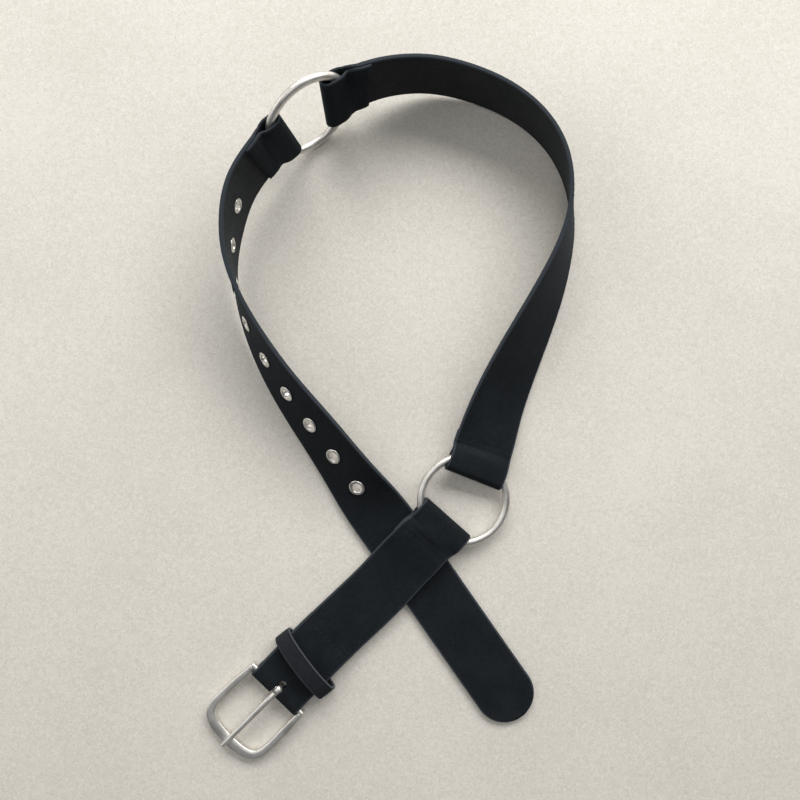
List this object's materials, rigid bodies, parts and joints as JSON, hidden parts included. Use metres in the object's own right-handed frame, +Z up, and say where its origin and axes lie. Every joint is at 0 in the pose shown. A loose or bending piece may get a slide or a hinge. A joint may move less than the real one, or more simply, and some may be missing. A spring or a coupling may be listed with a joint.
{
  "type": "ring belt",
  "caption": "Black nubuck ring belt: straps joined by round metal rings, with a heel-bar pin buckle, a keeper loop and metal eyelets, laid out in an open loop.",
  "frame": {"origin": "middle of the laid-out belt's bounding box, on the surface that it lies on", "axes": "+Z up from the surface; +Y along the longer side of the layout, from the crossed tails towards the upper ring; +X to the right as seen from above"},
  "size_m": [0.2366, 0.4345, 0.0589],
  "materials": {
    "nubuck": "matt napped black",
    "keeper_nubuck": "matt napped black, slightly polished",
    "satin_metal": "satin nickel plate",
    "eyelet_metal": "satin nickel plate, darker"
  },
  "bodies": {
    "belt": {"tip_strap": "nubuck", "eyelet_1": "eyelet_metal", "eyelet_2": "eyelet_metal", "eyelet_3": "eyelet_metal", "eyelet_4": "eyelet_metal", "eyelet_5": "eyelet_metal", "eyelet_6": "eyelet_metal", "eyelet_7": "eyelet_metal", "eyelet_8": "eyelet_metal", "eyelet_9": "eyelet_metal", "middle_strap": "nubuck", "buckle_strap": "nubuck", "keeper": "keeper_nubuck"},
    "upper_ring_body": {"upper_ring": "satin_metal"},
    "lower_ring_body": {"lower_ring": "satin_metal"},
    "frame_body": {"buckle_frame": "satin_metal"},
    "prong_body": {"buckle_prong": "satin_metal"}
  },
  "joints": [
    {"name": "upper_ring_turn", "type": "hinge", "parent": "belt", "child": "upper_ring_body", "pos_m": [-0.0494, 0.1851, 0.0298], "axis": [0.5839, -0.7749, 0.2419], "continuous": true},
    {"name": "lower_ring_turn", "type": "hinge", "parent": "belt", "child": "lower_ring_body", "pos_m": [0.0464, -0.0502, 0.0072], "axis": [0.095, -0.0549, 0.994], "continuous": true},
    {"name": "frame_hinge", "type": "hinge", "parent": "belt", "child": "frame_body", "pos_m": [-0.07249, -0.17149, 0.00461], "axis": [-0.7056, 0.7086, 0.0002], "range_deg": [0, 60]},
    {"name": "prong_hinge", "type": "hinge", "parent": "frame_body", "child": "prong_body", "pos_m": [-0.07225, -0.17174, 0.00461], "axis": [-0.7093, 0.7049, 0.0001], "range_deg": [0, 65]}
  ]
}
